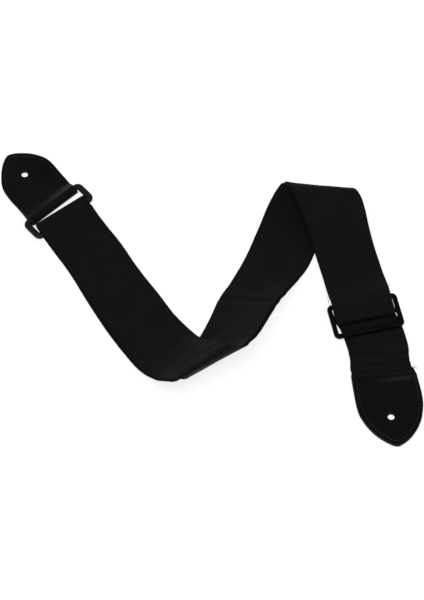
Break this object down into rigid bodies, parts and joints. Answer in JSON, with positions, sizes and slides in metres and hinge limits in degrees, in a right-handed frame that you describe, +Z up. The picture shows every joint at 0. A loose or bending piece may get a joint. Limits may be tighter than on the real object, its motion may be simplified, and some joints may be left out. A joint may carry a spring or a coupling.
{
  "type": "guitar strap",
  "caption": "Adjustable guitar strap of doubled black webbing with leather button-hole tabs, a rectangular ring and a slide adjuster, lying in a loose zigzag.",
  "frame": {"origin": "bottom centre of the strap's box as it lies on a table", "axes": "+Z up; +X across the zigzag from the ring tab to the end tab; +Y away from the viewer"},
  "size_m": [0.3522, 0.2815, 0.0388],
  "materials": {
    "webbing": "black flat woven synthetic webbing with a fine twill weave, matt with a faint sheen",
    "leather": "black grained leather, semi-matt with a soft highlight along the bends",
    "ring_plastic": "black moulded plastic, satin",
    "slider_plastic": "black moulded plastic, fine matt texture",
    "thread": "black bonded sewing thread"
  },
  "bodies": {
    "strap": {"webbing_lower_left": "webbing", "webbing_lower_bend": "webbing", "webbing_lower_middle": "webbing", "webbing_lower_top_fold": "webbing", "webbing_lower_right": "webbing", "webbing_threaded": "webbing", "webbing_upper_left": "webbing", "webbing_upper_bend": "webbing", "webbing_upper_middle": "webbing", "webbing_upper_top_fold": "webbing", "webbing_upper_right": "webbing", "webbing_upper_end": "webbing", "webbing_ring_loop": "webbing"},
    "ring": {"ring": "ring_plastic"},
    "ring_tab": {"ring_tab_leather": "leather", "ring_tab_edge_stitches": "thread", "ring_tab_cross_stitches": "thread"},
    "slider": {"slide_adjuster": "slider_plastic", "webbing_slider_loop": "webbing", "loop_seam_stitches": "thread"},
    "end_tab": {"webbing_end_tongue": "webbing", "end_tab_front_ply": "leather", "end_tab_back_ply": "leather", "end_tab_edge_stitches": "thread", "end_tab_cross_stitches": "thread"}
  },
  "joints": [
    {"name": "ring_hinge", "type": "hinge", "parent": "strap", "child": "ring", "pos_m": [-0.12, 0.0744, 0.0042], "axis": [0.7431, 0.6691, 0], "range_deg": [0, 100]},
    {"name": "ring_tab_hinge", "type": "hinge", "parent": "ring", "child": "ring_tab", "pos_m": [-0.13171, 0.0874, 0.0042], "axis": [0.7431, 0.6691, 0], "range_deg": [0, 90]},
    {"name": "adjuster_slide", "type": "slide", "parent": "strap", "child": "slider", "axis": [-0.225, 0.9744, 0], "range_m": [0, 0.035], "deforming": ["webbing_lower_right", "webbing_upper_right", "webbing_upper_end", "webbing_threaded"]},
    {"name": "end_tab_flex", "type": "hinge", "parent": "strap", "child": "end_tab", "pos_m": [0.14215, -0.06861, 0.0022], "axis": [-0.9744, -0.225, 0], "range_deg": [0, 75]}
  ]
}
